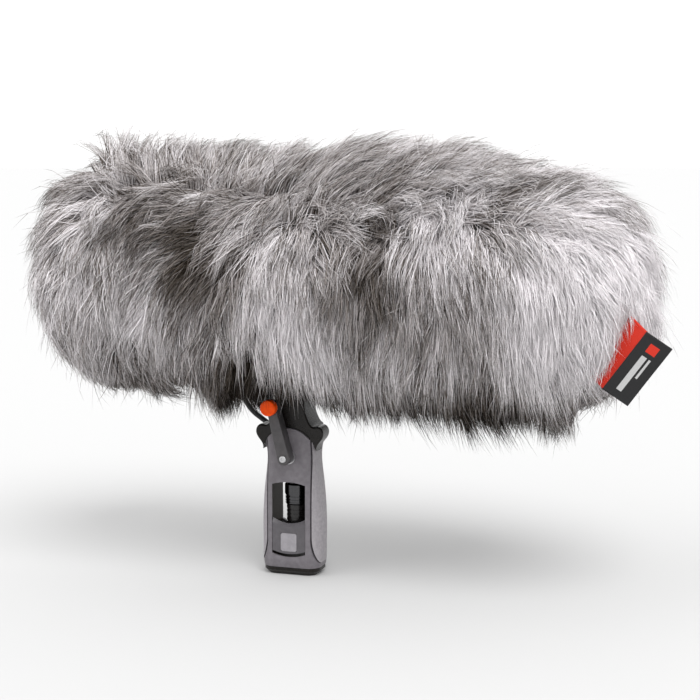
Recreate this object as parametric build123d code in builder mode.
"""Furry windscreen kit for a shotgun microphone, in millimetres.

A long-pile fur cover over a mesh pod, with a rail and two lyre mounts inside it. The pod stands on
a pistol-grip handle by a lever-clamped tilt joint. The origin is the mouth of the boom thread under
the handle, +Z is up, +X is the windscreen's front and -Y is the side that carries the lever.
"""

import os
from math import cos, pi, radians, sin, sqrt, tan

from build123d import *

os.makedirs("parts", exist_ok=True)

STANDING = (Align.CENTER, Align.CENTER, Align.MIN)

# handle
BASE_H = 6.0  # thickness of the base cap
BASE_WIDTH = 43.4
BASE_DEPTH = 27.6
BASE_SLOPE = 3.4  # bevel round the base cap's underside
BOLT_Z = 90.0  # height of the tilt axis
BOLT_R = 4.0
RUNNING_FIT = 0.05  # radial clearance of everything that turns on the bolt
HEAD_R = 21.0  # rounded head of the handle, about the tilt axis
HALF_DEPTH = 15.0  # handle's half thickness along Y
CORE_HALF = 16.6  # half width of the hard core between the rubber pads
PAD_GROOVE = 1.0  # open line between the core and each pad
PAD_SIDE = 4.5  # thickness of a pad at the handle's side
PAD_TOE = 23.8  # half width at which a pad's lower edge reaches the handle's side
PAD_FOOT = 6.6
PAD_FACE = 3.0  # thickness of a pad at the front and back faces
GLUE_GAP = 0.15
WINDOW_HALF = 13.0  # half width of the opening through the handle, at its front
WINDOW_FLARE = 2.0  # how much further its side walls stand from the middle at its back
WINDOW_TOP = 68.7  # upper corners of the opening
WINDOW_RISE = 2.0  # how far its top arches over them
WINDOW_FLOOR = 16.4  # lower corners of the opening
SILL_DIP = 2.4  # how far its sill curves down between them
THREAD_R = 3.97  # 3/8 inch boom thread, minor radius
THREAD_DEPTH = 10.5
INSERT_R = 7.0
SLOT_HALF = 5.0  # half width of the slot that the tilt tongue turns in
TONGUE_HALF = 4.8
TONGUE_R = 12.0

# height, half width, half depth and corner radius of the handle's outer skin
HANDLE_SECTIONS = (
    (BASE_H, 21.9, 14.0, 9.3),
    (12.0, 22.9, HALF_DEPTH, 10.7),
    (20.0, 23.2, HALF_DEPTH, 11.5),
    (45.0, 23.2, HALF_DEPTH, 11.5),
    (60.0, 22.2, HALF_DEPTH, 11.0),
    (75.0, 20.3, HALF_DEPTH, 10.0),
    (88.0, 18.8, HALF_DEPTH, 9.0),
    (98.0, 19.9, HALF_DEPTH, 9.0),
    (112.0, 20.8, HALF_DEPTH, 9.0),
)

# hardware in the handle
INSERT_H = 12.5
SCREW_X = 14.0
SCREW_R = 1.5
SCREW_HEAD_R = 2.8
NUT_R = 6.5
NUT_DEPTH = 4.0
PLATE_HALF = {"front": 12.8, "rear": 14.5}  # half width of each cover plate
PLATE_TOPS = {"front": 43.0, "rear": 37.0}  # corners of each cover plate's top edge
PLATE_DIP = 3.8  # how far a plate's top edge curves down between its corners
PLATE_FOOT = 18.8
PLATE_THICK = 3.0
PLATE_LIP = 2.2  # bevel along the front plate's top edge
PLATE_SCREW_X = 9.0
PLATE_SCREW_Z = 25.0
BADGE_Z = 25.2
BADGE_W = 12.4
BADGE_H = 13.6
GLAND_R = 4.2

# tension lever
LEVER_LENGTH = 39.2
LEVER_LEAN = 14.0  # degrees from upright, towards -X
LEVER_BACK = -16.0  # rear face of the arm
LEVER_FACE = -26.0  # front face of the arm
LEVER_HALF = 3.7
BOLT_FRONT = 23.0  # how far the bolt reaches in front of the handle's middle, inside the lever
KNOB_R = 5.9

# connector hanging in the handle
PLUG_X = 1.4
SHELL_R = 9.0
RING_R = 8.5
RING_GROOVE = 0.6
NOSE_R = 7.5
SHELL_FOOT = 60.0  # lower ends of the connector's shell, ring and nose
RING_FOOT = 52.0
NOSE_FOOT = 32.0

# pod and what it holds
POD_Z = 224.0  # height of the pod's axis
POD_R = 50.0
POD_WALL = 1.2
POD_REAR = -105.0
POD_FRONT = 178.0
RAIL_Z = 180.0
RAIL_H = 8.0
RAIL_HALF = 9.0
RAIL_REAR = -88.0
RAIL_LENGTH = 250.0
STOP_THICK = 4.0
MIC_R = 9.5
CLIP_R = 12.0
POD_SLOT = (-72.0, 14.0)
CAGE_RINGS = (POD_REAR, -86.0, 26.0, 100.0, POD_FRONT - 6.0)
CAGE_RING_WIDTH = 6.0
CAGE_BARS = (25, 90, 155, 205, 335)  # degrees round the pod's axis
CARRIAGE_LENGTH = 22.0
LYRE_THICK = 8.0
CLIP_LENGTH = 12.0
NECK_TOP = 150.0
NECK_SCREW_X = 6.0
CARRIAGES = {"rear": -40.0, "front": 112.0}  # middle of each lyre carriage along X

# fur cover
FUR_IN = 53.0
FUR_GAP = 0.4  # seam between two panels
SEAM_REAR = -112.0
SEAM_FRONT = 184.0
FUR_R = {"rear": 84.0, "middle": 90.0, "front": 89.0}  # outer radius at the seams and between them
FUR_MIDDLE = 30.0
FUR_SHOULDER = {"rear": (-180.0, 66.0), "front": (250.0, 74.0)}  # place along X, and radius
FUR_NOSE = {"rear": (-203.0, 30.0), "front": (272.0, 36.0)}
FUR_TIP = {"rear": -206.0, "front": 275.0}
SLOT_X = (-64.0, 24.0)  # underside opening for the neck and the cable
SLOT_Y = (-17.0, 26.0)
STRIPS = {"rear": (-100.0, -67.0), "front": (27.0, 170.0)}  # hook and loop along the underside slit
STRIP_HALF = 11.0
STRIP_Z = 168.5
STRIP_H = 2.0

# fabric label sewn to the front end
LABEL_LENGTH = 50.0
LABEL_WIDTH = 20.5
LABEL_SPLIT = 8.0  # width of the red strip that carries the black flag
LABEL_THICK = 0.8
LABEL_ROOT = (260.6, -62.0, 202.9)
LABEL_DOWN = (-0.587, 0.1362, -0.798)
LABEL_FACE = (0.1029, -0.9652, -0.2404)

# microphone cable
CABLE_R = 2.0
CABLE_ROUTE = (
    (0.6, 4.4, 70.0),
    (-3.6, 21.6, 81.0),
    (-13.0, 30.0, 93.0),
    (-31.5, 27.5, 106.5),
    (-45.5, 19.0, 119.5),
    (-51.5, 14.5, 142.5),
    (-56.0, 16.5, 165.5),
    (-64.0, 18.0, 182.5),
    (-79.0, 17.0, 190.5),
    (-95.0, 14.0, 193.5),
)
CABLE_START = Vector(*CABLE_ROUTE[1]) - Vector(*CABLE_ROUTE[0])
GLAND_PLANE = Plane((-1.985, 15.0, 76.78), z_dir=CABLE_START)
INNER_DIR = Vector(*CABLE_ROUTE[-1]) - Vector(*CABLE_ROUTE[-2])
LEVER_PLANE = Plane(
    (0, 0, BOLT_Z), x_dir=(cos(radians(LEVER_LEAN)), 0, sin(radians(LEVER_LEAN))), z_dir=(0, -1, 0)
)
LABEL_PLANE = Plane(LABEL_ROOT, x_dir=LABEL_DOWN, z_dir=LABEL_FACE)


def between(start, end, share):
    """The point that lies a share of the way from start to end."""
    return tuple(a + share * (b - a) for a, b in zip(start, end))


def corner_radii(points):
    """As large an arc at each corner as its two runs allow."""
    radii = []
    for before, here, after in zip(points, points[1:], points[2:]):
        arriving = Vector(*here) - Vector(*before)
        leaving = Vector(*after) - Vector(*here)
        half_turn = radians(arriving.get_angle(leaving)) / 2
        radii.append(0.45 * min(arriving.length, leaving.length) / tan(half_turn))
    return radii


def cable_run(points):
    """A plain round tube along straight runs joined by tangent arcs."""
    with BuildPart() as run:
        with BuildLine():
            if len(points) == 2:
                path = Line(*points)
            else:
                radii = corner_radii(points)
                print("cable radii", [round(radius, 1) for radius in radii])
                path = FilletPolyline(*points, radius=radii)
        with BuildSketch(Plane(origin=path @ 0, z_dir=path % 0)):
            Circle(CABLE_R)
        sweep(path=path)
    expected = pi * CABLE_R**2 * path.length
    print(f"cable run {path.length:.1f} mm, volume share {run.part.volume / expected:.4f}")
    return run


def skin_sections(side, face):
    """The handle's cross sections, pulled in by side along X and by face along Y."""
    sections = []
    for height, half_width, half_depth, corner in HANDLE_SECTIONS:
        with BuildSketch(Plane.XY.offset(height)) as section:
            width = 2 * (half_width - side)
            depth = 2 * (half_depth - face)
            RectangleRounded(width, depth, corner - min(side, face))
        sections.append(section.sketch)
    return sections


def head_outline():
    """Front view of the space the handle may fill: all of it below the waist, a round head above."""
    with BuildSketch(Plane.XZ) as outline:
        with Locations((0, 40)):
            Rectangle(60, 88)
        with Locations((0, BOLT_Z)):
            Circle(HEAD_R)
    return outline.sketch


def pad_zone(groove):
    """Front view of the +X rubber pad, which sweeps out to the side near the base."""
    edge = CORE_HALF + groove
    with BuildSketch(Plane.XZ) as zone:
        with BuildLine():
            Line((edge, 116), (edge, 30))
            ThreePointArc((edge, 30), (edge + 2.3, 15 + groove), (PAD_TOE, PAD_FOOT + groove))
            Line((PAD_TOE, PAD_FOOT + groove), (34, PAD_FOOT + groove))
            Line((34, PAD_FOOT + groove), (34, 116))
            Line((34, 116), (edge, 116))
        make_face()
    return zone.sketch


def smile(half, top, dip):
    """A shallow arc through the middle of the handle's opening, lowest at the centre."""
    return ThreePointArc((-half, top), (0, top - dip), (half, top))


def plate_outline(y, half, top):
    """Front view of a cover plate, drawn at y: both its long edges are curved."""
    with BuildSketch(Plane.XZ.offset(-y)) as outline:
        with BuildLine():
            smile(half, top, PLATE_DIP)
            Line((half, top), (half, PLATE_FOOT))
            smile(half, PLATE_FOOT, SILL_DIP)
            Line((-half, PLATE_FOOT), (-half, top))
        make_face()
    return outline.sketch


def ring_face(x, r_in, r_out):
    """A flat ring about the pod's axis, facing +X."""
    with BuildSketch(Plane.YZ.offset(x)) as flat:
        with Locations((0, POD_Z)):
            Circle(r_out)
            Circle(r_in, mode=Mode.SUBTRACT)
    return flat.sketch


# ---------------------------------------------------------------- handle

with BuildPart() as handle_frame:
    loft(skin_sections(0, 0))
    groove_zone = pad_zone(0)
    extrude(groove_zone, amount=20, both=True, mode=Mode.SUBTRACT)
    mirrored_zone = mirror(groove_zone, about=Plane.YZ, mode=Mode.PRIVATE)
    extrude(mirrored_zone, amount=20, both=True, mode=Mode.SUBTRACT)
    loft(skin_sections(PAD_SIDE + GLUE_GAP, PAD_FACE + GLUE_GAP))
    extrude(head_outline(), amount=20, both=True, mode=Mode.INTERSECT)
    # opening from front to back, with an arched top and a curved sill
    with BuildSketch(Plane.XZ):
        with BuildLine():
            smile(WINDOW_HALF, WINDOW_FLOOR, SILL_DIP)
            Line((WINDOW_HALF, WINDOW_FLOOR), (WINDOW_HALF, WINDOW_TOP))
            smile(WINDOW_HALF, WINDOW_TOP, -WINDOW_RISE)
            Line((-WINDOW_HALF, WINDOW_TOP), (-WINDOW_HALF, WINDOW_FLOOR))
        make_face()
    extrude(amount=20, both=True, mode=Mode.SUBTRACT)
    with BuildSketch(Plane.XY.offset(WINDOW_FLOOR)):
        with BuildLine():
            back_half = WINDOW_HALF + WINDOW_FLARE
            Polyline(
                (WINDOW_HALF, -HALF_DEPTH - 1), (back_half, HALF_DEPTH + 1),
                (-back_half, HALF_DEPTH + 1), (-WINDOW_HALF, -HALF_DEPTH - 1), close=True,
            )
        make_face()
    extrude(amount=WINDOW_TOP - WINDOW_FLOOR, mode=Mode.SUBTRACT)
    # fork slot for the tilt tongue, open at the top
    with Locations((0, 0, BOLT_Z - TONGUE_R - 0.8)):
        Box(35.2, 2 * SLOT_HALF, 50, align=STANDING, mode=Mode.SUBTRACT)
    # bolt bore, nut pocket at the back, connector pocket over the window
    with BuildSketch(Plane.XZ):
        with Locations((0, BOLT_Z)):
            Circle(BOLT_R + RUNNING_FIT)
    extrude(amount=20, both=True, mode=Mode.SUBTRACT)
    with BuildSketch(Plane.XZ.offset(-(HALF_DEPTH - NUT_DEPTH))):
        with Locations((0, BOLT_Z)):
            Circle(NUT_R + 0.6)
    extrude(amount=-10, mode=Mode.SUBTRACT)
    with BuildSketch(Plane.XY.offset(SHELL_FOOT)):
        with Locations((PLUG_X, 0)):
            Circle(SHELL_R + 0.7)
    extrude(amount=13.5, mode=Mode.SUBTRACT)
    # slanting bore for the gland
    with BuildSketch(GLAND_PLANE.offset(-26)):
        Circle(GLAND_R + 0.1)
    extrude(amount=40, mode=Mode.SUBTRACT)
    # seat of the thread insert and the base screws' holes
    with BuildSketch(Plane.XY):
        Circle(INSERT_R + 0.1)
        with GridLocations(2 * SCREW_X, 0, 2, 1):
            Circle(SCREW_R + 0.1)
    extrude(amount=INSERT_H + 0.1, mode=Mode.SUBTRACT)

with BuildPart() as grip_pad_front:
    loft(skin_sections(0, 0))
    loft(skin_sections(PAD_SIDE, PAD_FACE), mode=Mode.SUBTRACT)
    extrude(pad_zone(PAD_GROOVE), amount=20, both=True, mode=Mode.INTERSECT)
    extrude(head_outline(), amount=20, both=True, mode=Mode.INTERSECT)

with BuildPart() as grip_pad_rear:
    mirror(grip_pad_front.part, about=Plane.YZ)

with BuildPart() as base_cap:
    with BuildSketch(Plane.XY):
        RectangleRounded(BASE_WIDTH, BASE_DEPTH, 9.0)
    extrude(amount=BASE_H)
    chamfer(base_cap.faces().sort_by(Axis.Z)[0].outer_wire().edges(), length=BASE_SLOPE)
    with Locations((0, 0, 0)):
        Hole(INSERT_R + 0.1)
    with Locations(Plane.XY.rotated((180, 0, 0))):
        with GridLocations(2 * SCREW_X, 0, 2, 1):
            CounterBoreHole(SCREW_R + 0.1, SCREW_HEAD_R + 0.2, 2.0)

with BuildPart() as base_screws:
    with GridLocations(2 * SCREW_X, 0, 2, 1):
        with Locations((0, 0, 0.4)):
            Cylinder(SCREW_HEAD_R, 1.6, align=STANDING)
            Cylinder(1.1, 0.9, align=STANDING, mode=Mode.SUBTRACT)
        with Locations((0, 0, 2.0)):
            Cylinder(SCREW_R, 8.5, align=STANDING)

with BuildPart() as thread_insert:
    Cylinder(INSERT_R, INSERT_H, align=STANDING)
    Cylinder(THREAD_R, THREAD_DEPTH, align=STANDING, mode=Mode.SUBTRACT)

with BuildPart() as plate_front:
    extrude(
        plate_outline(PLATE_THICK - HALF_DEPTH, PLATE_HALF["front"], PLATE_TOPS["front"]),
        amount=PLATE_THICK - 0.4,
    )
    top_edge = plate_front.faces().sort_by(Axis.Y)[0].edges().sort_by(Axis.Z)[-1]
    chamfer(top_edge, length=PLATE_LIP)
    with Locations(Plane.XZ.offset(HALF_DEPTH - 1.4)):
        with Locations((0, BADGE_Z)):
            Box(BADGE_W + 0.2, BADGE_H + 0.2, 2, align=STANDING, mode=Mode.SUBTRACT)
    with Locations(Plane.XZ):
        with Locations((-PLATE_SCREW_X, PLATE_SCREW_Z), (PLATE_SCREW_X, PLATE_SCREW_Z)):
            Cylinder(1.2, 2 * (HALF_DEPTH - 2), mode=Mode.SUBTRACT)

with BuildPart() as plate_rear:
    extrude(
        plate_outline(HALF_DEPTH - PLATE_THICK, PLATE_HALF["rear"], PLATE_TOPS["rear"]),
        amount=0.4 - PLATE_THICK,
    )
    with Locations(Plane.XZ):
        with Locations((-PLATE_SCREW_X, PLATE_SCREW_Z), (PLATE_SCREW_X, PLATE_SCREW_Z)):
            Cylinder(1.2, 60, mode=Mode.SUBTRACT)

with BuildPart() as plate_badge:
    with BuildSketch(Plane.XZ.offset(HALF_DEPTH - 1.4)):
        with Locations((0, BADGE_Z)):
            RectangleRounded(BADGE_W, BADGE_H, 1.6)
    extrude(amount=1.2)

with BuildPart() as plate_screws:
    for x in (-PLATE_SCREW_X, PLATE_SCREW_X):
        with BuildSketch(Plane.XZ.offset(HALF_DEPTH - 2.2)):
            with Locations((x, PLATE_SCREW_Z)):
                Circle(1.1)
        extrude(amount=-(2 * HALF_DEPTH - 2.4))
        with BuildSketch(Plane.XZ.offset(-(HALF_DEPTH - 0.4))):
            with Locations((x, PLATE_SCREW_Z)):
                Circle(2.1)
        extrude(amount=-1.1)

with BuildPart() as cable_gland:
    with BuildSketch(GLAND_PLANE.offset(-2)):
        Circle(GLAND_R)
        Circle(CABLE_R + GLUE_GAP, mode=Mode.SUBTRACT)
    extrude(amount=6)
    with BuildSketch(GLAND_PLANE.offset(4)):
        Circle(GLAND_R + 1.2)
        Circle(CABLE_R + GLUE_GAP, mode=Mode.SUBTRACT)
    extrude(amount=2.5, taper=12)

# ---------------------------------------------------------------- connector in the window

with BuildPart() as plug_shell:
    with BuildSketch(Plane.XY.offset(SHELL_FOOT)):
        with Locations((PLUG_X, 0)):
            Circle(SHELL_R)
    extrude(amount=8)
    chamfer(plug_shell.faces().sort_by(Axis.Z)[-1].edges(), length=1.0)
    with BuildSketch(Plane(CABLE_ROUTE[0], z_dir=CABLE_START).offset(-5)):
        Circle(CABLE_R + 1.2)
    extrude(amount=5)

with BuildPart() as plug_ring:
    with BuildSketch(Plane.XZ):
        with BuildLine():
            Polyline(
                (PLUG_X, SHELL_FOOT), (PLUG_X + RING_R, SHELL_FOOT), (PLUG_X + RING_R, RING_FOOT + 1),
                (PLUG_X + RING_R - 0.7, RING_FOOT), (PLUG_X, RING_FOOT), close=True,
            )
        make_face()
    revolve(axis=Axis((PLUG_X, 0, 0), (0, 0, 1)))
    for height in (RING_FOOT + 1.8, RING_FOOT + 3.6, SHELL_FOOT - 1.8):
        with BuildSketch(Plane.XY.offset(height)):
            with Locations((PLUG_X, 0)):
                Circle(RING_R + 1)
                Circle(RING_R - RING_GROOVE, mode=Mode.SUBTRACT)
        extrude(amount=0.9, mode=Mode.SUBTRACT)

with BuildPart() as plug_nose:
    with BuildSketch(Plane.XY.offset(NOSE_FOOT)):
        with Locations((PLUG_X, 0)):
            Circle(NOSE_R)
    extrude(amount=RING_FOOT - NOSE_FOOT)
    for groove in range(5):
        with BuildSketch(Plane.XY.offset(NOSE_FOOT + 4 + 3 * groove)):
            with Locations((PLUG_X, 0)):
                Circle(NOSE_R + 1)
                Circle(NOSE_R - 0.5, mode=Mode.SUBTRACT)
        extrude(amount=0.9, mode=Mode.SUBTRACT)
    with BuildSketch(Plane.XY.offset(NOSE_FOOT)):
        with Locations((PLUG_X, 0)):
            Circle(NOSE_R - 1)
    extrude(amount=6, mode=Mode.SUBTRACT)

with BuildPart() as plug_pins:
    with BuildSketch(Plane.XY.offset(NOSE_FOOT + 1)):
        with Locations((PLUG_X, 0)):
            with PolarLocations(2.6, 3, start_angle=90):
                Circle(0.7)
    extrude(amount=5)

# ---------------------------------------------------------------- clamp and lever

with BuildPart() as tilt_bolt:
    with BuildSketch(Plane.XZ.offset(BOLT_FRONT)):
        with Locations((0, BOLT_Z)):
            Circle(BOLT_R)
    extrude(amount=-(BOLT_FRONT + HALF_DEPTH + 0.6))

with BuildPart() as tilt_nut:
    with BuildSketch(Plane.XZ.offset(-(HALF_DEPTH - NUT_DEPTH))):
        with Locations((0, BOLT_Z)):
            RegularPolygon(NUT_R, 6)
            Circle(BOLT_R + RUNNING_FIT, mode=Mode.SUBTRACT)
    extrude(amount=-(NUT_DEPTH + 1.2))
    chamfer(tilt_nut.faces().sort_by(Axis.Y)[-1].outer_wire().edges(), length=0.5)

with BuildPart() as clamp_washer:
    with BuildSketch(Plane.XZ.offset(HALF_DEPTH + 0.1)):
        with Locations((0, BOLT_Z)):
            Circle(5.6)
            Circle(BOLT_R + RUNNING_FIT, mode=Mode.SUBTRACT)
    extrude(amount=0.7)

with BuildPart() as lever_arm:
    with BuildSketch(LEVER_PLANE.offset(-LEVER_BACK)):
        with BuildLine():
            JernArc((-LEVER_HALF - 1.2, 0), (0, -1), LEVER_HALF + 1.2, 180)
            Line((LEVER_HALF + 1.2, 0), (LEVER_HALF, LEVER_LENGTH))
            JernArc((LEVER_HALF, LEVER_LENGTH), (0, 1), LEVER_HALF, 180)
            Line((-LEVER_HALF, LEVER_LENGTH), (-LEVER_HALF - 1.2, 0))
        make_face()
    extrude(amount=LEVER_BACK - LEVER_FACE)
    fillet(lever_arm.faces().sort_by(Axis.Y)[0].edges(), radius=1.2)
    with BuildSketch(LEVER_PLANE):
        Circle(BOLT_R + RUNNING_FIT)
    extrude(amount=BOLT_FRONT + 0.3, mode=Mode.SUBTRACT)

with BuildPart() as lever_screw:
    with BuildSketch(LEVER_PLANE.offset(-LEVER_FACE)):
        Circle(2.6)
    extrude(amount=1.4)
    fillet(lever_screw.faces().sort_by(Axis.Y)[0].edges(), radius=0.7)
    with BuildSketch(LEVER_PLANE.offset(-LEVER_FACE + 0.6)):
        RegularPolygon(1.3, 6)
    extrude(amount=1, mode=Mode.SUBTRACT)

with BuildPart() as lever_collar:
    with BuildSketch(LEVER_PLANE.offset(-LEVER_FACE)):
        with Locations((0, LEVER_LENGTH)):
            Circle(KNOB_R + 0.35)
    extrude(amount=1.3)
    fillet(lever_collar.faces().sort_by(Axis.Y)[0].edges(), radius=0.4)

with BuildPart() as lever_knob:
    with BuildSketch(LEVER_PLANE.offset(-LEVER_FACE + 1.3)):
        with Locations((0, LEVER_LENGTH)):
            Circle(KNOB_R)
    extrude(amount=5.6)
    fillet(lever_knob.faces().sort_by(Axis.Y)[0].edges(), radius=1.3)

# ---------------------------------------------------------------- tilting saddle and neck

with BuildPart() as tilt_saddle:
    with BuildSketch(Plane.XZ):
        with BuildLine() as right_side:
            Spline(
                (20.9, BOLT_Z + 4.4), (22.0, BOLT_Z + 9.4), (25.4, BOLT_Z + 14.0), (26.2, BOLT_Z + 19.0),
                (23.2, BOLT_Z + 22.6), (18.4, BOLT_Z + 22.4), (14.4, BOLT_Z + 27.0), (11.6, BOLT_Z + 38.0),
                (11.0, NECK_TOP),
            )
            mirror(about=Plane.YZ)
            Line((-11.0, NECK_TOP), (11.0, NECK_TOP))
            Line((-20.9, BOLT_Z + 4.4), (20.9, BOLT_Z + 4.4))
        make_face()
        with Locations((0, BOLT_Z)):
            Circle(HEAD_R + 0.35, mode=Mode.SUBTRACT)
    extrude(amount=13, both=True)
    # the horns only stand over the lever half of the head, which leaves room for the cable behind
    with GridLocations(60, 0, 2, 1):
        with Locations((0, 3, BOLT_Z)):
            Box(24, 20, 40, align=(Align.CENTER, Align.MIN, Align.MIN), mode=Mode.SUBTRACT)
    fillet(tilt_saddle.edges().filter_by(GeomType.BSPLINE), radius=1.6)
    with BuildSketch(Plane.XZ):
        with Locations((0, BOLT_Z)):
            Circle(TONGUE_R)
        with Locations((0, BOLT_Z + 14)):
            Rectangle(16, 28)
    extrude(amount=TONGUE_HALF, both=True)
    with BuildSketch(Plane.XZ):
        with Locations((0, BOLT_Z)):
            Circle(BOLT_R + RUNNING_FIT)
    extrude(amount=20, both=True, mode=Mode.SUBTRACT)
    with BuildSketch(Plane.XY.offset(NECK_TOP)):
        with GridLocations(2 * NECK_SCREW_X, 0, 2, 1):
            Circle(1.8)
    extrude(amount=-14, mode=Mode.SUBTRACT)

with BuildPart() as neck_adapter:
    with BuildSketch(Plane.XY.offset(NECK_TOP)):
        RectangleRounded(22, 22, 4)
    extrude(amount=RAIL_Z - 4 - NECK_TOP)
    with BuildSketch(Plane.XY.offset(RAIL_Z - 4)):
        RectangleRounded(46, 16, 3)
    extrude(amount=4)
    with BuildSketch(Plane.XY.offset(NECK_TOP)):
        with GridLocations(2 * NECK_SCREW_X, 0, 2, 1):
            Circle(1.8)
    extrude(amount=RAIL_Z - NECK_TOP, mode=Mode.SUBTRACT)
    with BuildSketch(Plane.XY.offset(RAIL_Z)):
        with GridLocations(2 * NECK_SCREW_X, 0, 2, 1):
            Circle(3.2)
    extrude(amount=-2.6, mode=Mode.SUBTRACT)

with BuildPart() as neck_screws:
    for x in (-NECK_SCREW_X, NECK_SCREW_X):
        with BuildSketch(Plane.XY.offset(NECK_TOP - 12)):
            with Locations((x, 0)):
                Circle(1.6)
        extrude(amount=RAIL_Z - 2.5 - NECK_TOP + 12)
        with BuildSketch(Plane.XY.offset(RAIL_Z - 2.5)):
            with Locations((x, 0)):
                Circle(3.0)
        extrude(amount=2.3)

# ---------------------------------------------------------------- rail and lyre mounts

with BuildPart() as suspension_rail:
    with BuildSketch(Plane.YZ.offset(RAIL_REAR)):
        with Locations((0, RAIL_Z + RAIL_H / 2)):
            Rectangle(2 * RAIL_HALF, RAIL_H)
            with Locations((-RAIL_HALF, 0), (RAIL_HALF, 0)):
                Rectangle(4, 3, mode=Mode.SUBTRACT)
    extrude(amount=RAIL_LENGTH)

with BuildPart() as rail_stops:
    for x in (RAIL_REAR - STOP_THICK, RAIL_REAR + RAIL_LENGTH):
        with BuildSketch(Plane.YZ.offset(x)):
            with Locations((0, RAIL_Z + 6)):
                RectangleRounded(24, 15, 2)
        extrude(amount=STOP_THICK)


def carriage(x):
    """A block that straddles the rail, with tongues in the rail's side grooves."""
    with BuildPart() as block:
        with BuildSketch(Plane.YZ.offset(x - CARRIAGE_LENGTH / 2)):
            with Locations((0, RAIL_Z + 7.5)):
                RectangleRounded(26, 11, 1.5)
            with Locations((0, RAIL_Z + RAIL_H / 2)):
                Rectangle(2 * RAIL_HALF + 0.3, RAIL_H + 0.3, mode=Mode.SUBTRACT)
            with Locations((-RAIL_HALF - 0.6, RAIL_Z + RAIL_H / 2), (RAIL_HALF + 0.6, RAIL_Z + RAIL_H / 2)):
                Rectangle(4, 2.6)
        extrude(amount=CARRIAGE_LENGTH)
    return block


def thumb_screw(x):
    """A knurled clamp screw on the carriage's -Y cheek."""
    with BuildPart() as screw:
        with BuildSketch(Plane.XZ.offset(13.1)):
            with Locations((x, RAIL_Z + 7)):
                Circle(4.6)
                with PolarLocations(4.8, 14):
                    Circle(0.5, mode=Mode.SUBTRACT)
        extrude(amount=5)
    return screw


def lyre(x):
    """A springy W of two folded arms that carries a ring for the microphone clip."""
    with BuildPart() as spring:
        with BuildSketch(Plane.YZ.offset(x - LYRE_THICK / 2)):
            with Locations((0, RAIL_Z + 14.6)):
                Rectangle(24, 3)
            for side in (-1, 1):
                with BuildLine(mode=Mode.PRIVATE) as arm:
                    FilletPolyline(
                        (side * 9, RAIL_Z + 15), (side * 27, RAIL_Z + 25), (side * 30, POD_Z + 2),
                        (side * 25, POD_Z + 19), (side * 17, POD_Z + 14), (side * 13, POD_Z + 2),
                        radius=3,
                    )
                trace(arm.line, line_width=2.6)
            with Locations((0, POD_Z)):
                Circle(CLIP_R + 2.2)
                Circle(CLIP_R + 0.1, mode=Mode.SUBTRACT)
                with Locations((0, CLIP_R)):
                    Rectangle(13, 12, mode=Mode.SUBTRACT)
        extrude(amount=LYRE_THICK)
    return spring


def mic_clip(x):
    """An open round clip that grips the microphone's tube."""
    with BuildPart() as clip:
        with BuildSketch(Plane.YZ.offset(x - CLIP_LENGTH / 2)):
            with Locations((0, POD_Z)):
                Circle(CLIP_R)
                Circle(MIC_R, mode=Mode.SUBTRACT)
                with Locations((0, CLIP_R)):
                    Rectangle(12, 12, mode=Mode.SUBTRACT)
        extrude(amount=CLIP_LENGTH)
    return clip


# ---------------------------------------------------------------- pod


def pod_stretch(low, high):
    """A thin round length of the pod's wall."""
    with BuildPart() as stretch:
        extrude(ring_face(low, POD_R - POD_WALL, POD_R), amount=high - low)
    return stretch


with BuildPart() as pod_tube_middle:
    extrude(ring_face(POD_SLOT[0], POD_R - POD_WALL, POD_R), amount=POD_SLOT[1] - POD_SLOT[0])
    with Locations(((POD_SLOT[0] + POD_SLOT[1]) / 2, 4, POD_Z - POD_R)):
        Box(POD_SLOT[1] - POD_SLOT[0], 40, 40, mode=Mode.SUBTRACT)

with BuildPart() as pod_cage:
    for x in CAGE_RINGS:
        extrude(ring_face(x, POD_R - POD_WALL - 2.6, POD_R - POD_WALL - 0.1), amount=CAGE_RING_WIDTH)
    for angle in CAGE_BARS:
        with BuildSketch(Plane.YZ.offset(POD_REAR)):
            with Locations((0, POD_Z)):
                with PolarLocations(POD_R - POD_WALL - 1.4, 1, start_angle=angle):
                    Rectangle(2.4, 5)
        extrude(amount=POD_FRONT - POD_REAR)


def dome(x, toward):
    """A thin half sphere that closes one end of the pod."""
    with BuildPart() as shell:
        with BuildSketch(Plane.XZ):
            with Locations((x, POD_Z)):
                Circle(POD_R)
                Circle(POD_R - POD_WALL, mode=Mode.SUBTRACT)
                with Locations((-toward * 50, 0)):
                    Rectangle(100, 120, mode=Mode.SUBTRACT)
                with Locations((0, -50)):
                    Rectangle(120, 100, mode=Mode.SUBTRACT)
        revolve(axis=Axis((0, 0, POD_Z), (1, 0, 0)))
    return shell


def joint_ring(x):
    """The collar that the dome and the tube both push into."""
    with BuildPart() as collar:
        extrude(ring_face(x - 7, POD_R + 0.1, POD_R + 2.2), amount=14)
        fillet(collar.edges().filter_by(GeomType.CIRCLE), radius=0.8)
    return collar


# ---------------------------------------------------------------- fur cover


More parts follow.
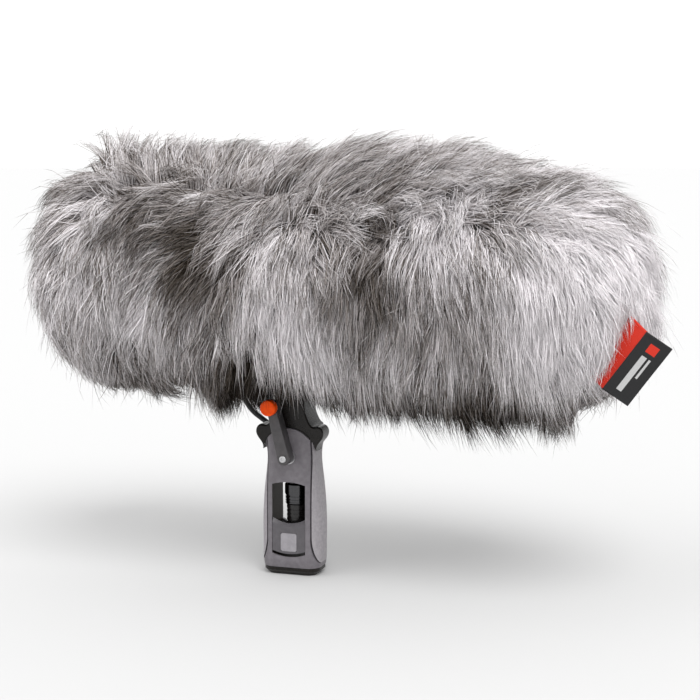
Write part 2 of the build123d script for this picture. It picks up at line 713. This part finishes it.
def fur_end(place, seam):
    """The rounded end panel of the cover: its outer curve, and a round hollow for the dome."""
    centre, toward = {"rear": (POD_REAR, -1), "front": (POD_FRONT, 1)}[place]
    rim = (seam, POD_Z + FUR_R[place])
    shoulder = (FUR_SHOULDER[place][0], POD_Z + FUR_SHOULDER[place][1])
    nose = (FUR_NOSE[place][0], POD_Z + FUR_NOSE[place][1])
    tip = (FUR_TIP[place], POD_Z)
    hollow = centre + toward * FUR_IN
    middle = (centre + toward * FUR_IN * cos(radians(45)), POD_Z + FUR_IN * sin(radians(45)))
    seam_in = POD_Z + sqrt(FUR_IN**2 - (seam - centre) ** 2)
    with BuildPart() as panel:
        with BuildSketch(Plane.XZ):
            with BuildLine():
                ThreePointArc(rim, shoulder, nose)
                Line(nose, tip)
                Line(tip, (hollow, POD_Z))
                ThreePointArc((hollow, POD_Z), middle, (seam, seam_in))
                Line((seam, seam_in), rim)
            make_face()
        revolve(axis=Axis((0, 0, POD_Z), (1, 0, 0)))
    return panel


def fur_stretch(low, high, cut_low, cut_high):
    """A length of the sleeve between two seams, hollow for the pod, less a box out of its underside."""
    rear_rim = (SEAM_REAR, POD_Z + FUR_R["rear"])
    front_rim = (SEAM_FRONT, POD_Z + FUR_R["front"])
    with BuildPart() as stretch:
        with BuildSketch(Plane.XZ):
            with BuildLine():
                ThreePointArc(rear_rim, (FUR_MIDDLE, POD_Z + FUR_R["middle"]), front_rim)
                Line(front_rim, (SEAM_FRONT, POD_Z + FUR_IN))
                Line((SEAM_FRONT, POD_Z + FUR_IN), (SEAM_REAR, POD_Z + FUR_IN))
                Line((SEAM_REAR, POD_Z + FUR_IN), rear_rim)
            make_face()
        revolve(axis=Axis((0, 0, POD_Z), (1, 0, 0)))
        with Locations((low, 0, POD_Z)):
            Box(high - low, 200, 200, align=(Align.MIN, Align.CENTER, Align.CENTER), mode=Mode.INTERSECT)
        with Locations(cut_low):
            cut = [end - start for start, end in zip(cut_low, cut_high)]
            Box(*cut, align=(Align.MIN, Align.MIN, Align.MIN), mode=Mode.SUBTRACT)
    return stretch


def strip_pocket(x_low, x_high):
    """Two corners of the pocket that holds one closure strip."""
    low = (x_low - 0.3, -STRIP_HALF - 0.3, STRIP_Z - 0.3)
    high = (x_high + 0.3, STRIP_HALF + 0.3, STRIP_Z + STRIP_H + 0.7)
    return low, high


fur_end_front = fur_end("front", SEAM_FRONT + FUR_GAP)
fur_end_rear = fur_end("rear", SEAM_REAR - FUR_GAP)
fur_sleeve_rear = fur_stretch(SEAM_REAR, SLOT_X[0] - FUR_GAP, *strip_pocket(*STRIPS["rear"]))
fur_sleeve_front = fur_stretch(SLOT_X[1] + FUR_GAP, SEAM_FRONT, *strip_pocket(*STRIPS["front"]))
slot_low = (SLOT_X[0], SLOT_Y[0], POD_Z - 100)
slot_high = (SLOT_X[1], SLOT_Y[1], POD_Z - 20)
fur_sleeve_middle = fur_stretch(*SLOT_X, slot_low, slot_high)

with BuildPart() as closure_strips:
    for x_low, x_high in STRIPS.values():
        with Locations((x_low, 0, STRIP_Z)):
            Box(x_high - x_low, 2 * STRIP_HALF, STRIP_H, align=(Align.MIN, Align.CENTER, Align.MIN))

with BuildPart() as label_red:
    with BuildSketch(LABEL_PLANE):
        with Locations((LABEL_LENGTH / 2, LABEL_SPLIT / 2 - 3)):
            Rectangle(LABEL_LENGTH + 4, LABEL_SPLIT + 6)
    extrude(amount=LABEL_THICK)

with BuildPart() as label_black:
    with BuildSketch(LABEL_PLANE.offset(LABEL_THICK + 0.1)):
        with Locations((LABEL_LENGTH / 2, LABEL_SPLIT + LABEL_WIDTH / 2 - 1)):
            Rectangle(LABEL_LENGTH, LABEL_WIDTH)
    extrude(amount=LABEL_THICK)

# ---------------------------------------------------------------- cable

tail_end = between(CABLE_ROUTE[0], CABLE_ROUTE[1], 0.3)
floor_mark = between(CABLE_ROUTE[5], CABLE_ROUTE[6], 0.6)

cable_tail = cable_run((CABLE_ROUTE[0], tail_end))
cable_loop = cable_run((tail_end, *CABLE_ROUTE[1:6], floor_mark))
cable_inner = cable_run((floor_mark, *CABLE_ROUTE[6:]))

with BuildPart() as inner_plug:
    with BuildSketch(Plane(CABLE_ROUTE[-1], z_dir=INNER_DIR)):
        Circle(CABLE_R + 1.4)
    extrude(amount=8, taper=-14)
    with BuildSketch(Plane(CABLE_ROUTE[-1], z_dir=INNER_DIR).offset(8)):
        Circle(7)
    extrude(amount=22)
    with BuildSketch(Plane(CABLE_ROUTE[-1], z_dir=INNER_DIR).offset(30)):
        Circle(5.4)
    extrude(amount=-8, mode=Mode.SUBTRACT)

# ---------------------------------------------------------------- files

pieces = {
    "handle_frame": handle_frame,
    "grip_pad_front": grip_pad_front,
    "grip_pad_rear": grip_pad_rear,
    "base_cap": base_cap,
    "base_screws": base_screws,
    "thread_insert": thread_insert,
    "plate_front": plate_front,
    "plate_rear": plate_rear,
    "plate_badge": plate_badge,
    "plate_screws": plate_screws,
    "cable_gland": cable_gland,
    "plug_shell": plug_shell,
    "plug_ring": plug_ring,
    "plug_nose": plug_nose,
    "plug_pins": plug_pins,
    "tilt_bolt": tilt_bolt,
    "tilt_nut": tilt_nut,
    "clamp_washer": clamp_washer,
    "lever_arm": lever_arm,
    "lever_screw": lever_screw,
    "lever_collar": lever_collar,
    "lever_knob": lever_knob,
    "tilt_saddle": tilt_saddle,
    "neck_adapter": neck_adapter,
    "neck_screws": neck_screws,
    "suspension_rail": suspension_rail,
    "rail_stops": rail_stops,
    "pod_tube_rear": pod_stretch(POD_REAR, POD_SLOT[0]),
    "pod_tube_middle": pod_tube_middle,
    "pod_tube_front": pod_stretch(POD_SLOT[1], POD_FRONT),
    "pod_cage": pod_cage,
    "pod_dome_front": dome(POD_FRONT + 0.1, 1),
    "pod_dome_rear": dome(POD_REAR - 0.1, -1),
    "dome_ring_front": joint_ring(POD_FRONT),
    "dome_ring_rear": joint_ring(POD_REAR),
    "fur_sleeve_rear": fur_sleeve_rear,
    "fur_sleeve_middle": fur_sleeve_middle,
    "fur_sleeve_front": fur_sleeve_front,
    "fur_end_front": fur_end_front,
    "fur_end_rear": fur_end_rear,
    "closure_strips": closure_strips,
    "label_red": label_red,
    "label_black": label_black,
    "cable_tail": cable_tail,
    "cable_loop": cable_loop,
    "cable_inner": cable_inner,
    "inner_plug": inner_plug,
}
for place, middle in CARRIAGES.items():
    pieces[f"carriage_{place}"] = carriage(middle)
    pieces[f"carriage_screw_{place}"] = thumb_screw(middle)
    pieces[f"lyre_{place}"] = lyre(middle)
    pieces[f"mic_clip_{place}"] = mic_clip(middle)

for label, piece in pieces.items():
    piece.part.label = label
    export_step(piece.part, f"parts/{label}.step")
